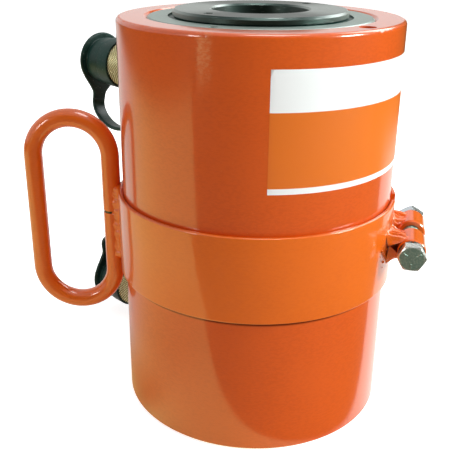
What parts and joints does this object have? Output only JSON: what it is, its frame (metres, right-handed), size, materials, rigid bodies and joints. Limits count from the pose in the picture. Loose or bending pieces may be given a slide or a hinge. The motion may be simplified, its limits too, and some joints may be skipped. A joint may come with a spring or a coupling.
{
  "type": "hollow plunger hydraulic cylinder",
  "caption": "Double-acting hollow plunger hydraulic cylinder with a hole through its axis, a carrying clamp with loop handle, and capped hose couplers.",
  "frame": {"origin": "centre of the base, on the axis of the hole through the cylinder", "axes": "+Z along the axis, the way the plunger moves out; -X towards the handle"},
  "size_m": [0.2448, 0.1919, 0.2351],
  "materials": {
    "orange_paint": "gloss",
    "black_oxide": "satin",
    "bright_steel": "turned",
    "hard_chrome": "polished",
    "clear_zinc": "plated",
    "yellow_zinc": "plated",
    "cap_rubber": "satin",
    "seal_rubber": "matt",
    "bearing_polymer": "matt"
  },
  "bodies": {
    "cylinder": {"cylinder_body": "orange_paint", "center_tube": "bright_steel", "tube_o_ring": "seal_rubber", "gland_nut": "black_oxide", "gland_o_ring": "seal_rubber", "gland_backup_ring": "bearing_polymer", "rod_bearing": "bearing_polymer", "rod_seal": "seal_rubber", "rod_wiper": "seal_rubber", "clamp_band": "orange_paint", "front_clamp_lug": "orange_paint", "rear_clamp_lug": "orange_paint", "lug_welds": "orange_paint", "clamp_bolt": "clear_zinc", "clamp_washer": "black_oxide", "clamp_nut": "clear_zinc", "handle_loop": "orange_paint", "handle_welds": "orange_paint", "upper_coupler_adapter": "yellow_zinc", "upper_coupler_shell": "yellow_zinc", "upper_coupler_o_ring": "seal_rubber", "upper_valve_spring": "bright_steel", "upper_cap_strap": "cap_rubber", "lower_coupler_adapter": "yellow_zinc", "lower_coupler_shell": "yellow_zinc", "lower_coupler_o_ring": "seal_rubber", "lower_valve_spring": "bright_steel", "lower_cap_strap": "cap_rubber"},
    "plunger": {"plunger": "hard_chrome", "saddle": "black_oxide", "piston_seal": "seal_rubber", "piston_bearing": "bearing_polymer", "tube_seal": "seal_rubber"},
    "upper_cap": {"upper_dust_cap": "cap_rubber"},
    "upper_valve": {"upper_valve_ball": "bright_steel"},
    "lower_cap": {"lower_dust_cap": "cap_rubber"},
    "lower_valve": {"lower_valve_ball": "bright_steel"}
  },
  "joints": [
    {"name": "plunger_stroke", "type": "slide", "parent": "cylinder", "child": "plunger", "axis": [0, 0, 1], "range_m": [0, 0.127]},
    {"name": "upper_cap_pull", "type": "slide", "parent": "cylinder", "child": "upper_cap", "axis": [-0.7547, 0.6561, 0], "range_m": [0, 0.03], "deforming": ["upper_cap_strap"]},
    {"name": "upper_valve_push", "type": "slide", "parent": "cylinder", "child": "upper_valve", "axis": [0.7547, -0.6561, 0], "range_m": [0, 0.003], "stiffness_N_per_m": 400, "springref_m": -0.003, "deforming": ["upper_valve_spring"]},
    {"name": "lower_cap_pull", "type": "slide", "parent": "cylinder", "child": "lower_cap", "axis": [-0.7547, 0.6561, 0], "range_m": [0, 0.03], "deforming": ["lower_cap_strap"]},
    {"name": "lower_valve_push", "type": "slide", "parent": "cylinder", "child": "lower_valve", "axis": [0.7547, -0.6561, 0], "range_m": [0, 0.003], "stiffness_N_per_m": 400, "springref_m": -0.003, "deforming": ["lower_valve_spring"]}
  ]
}
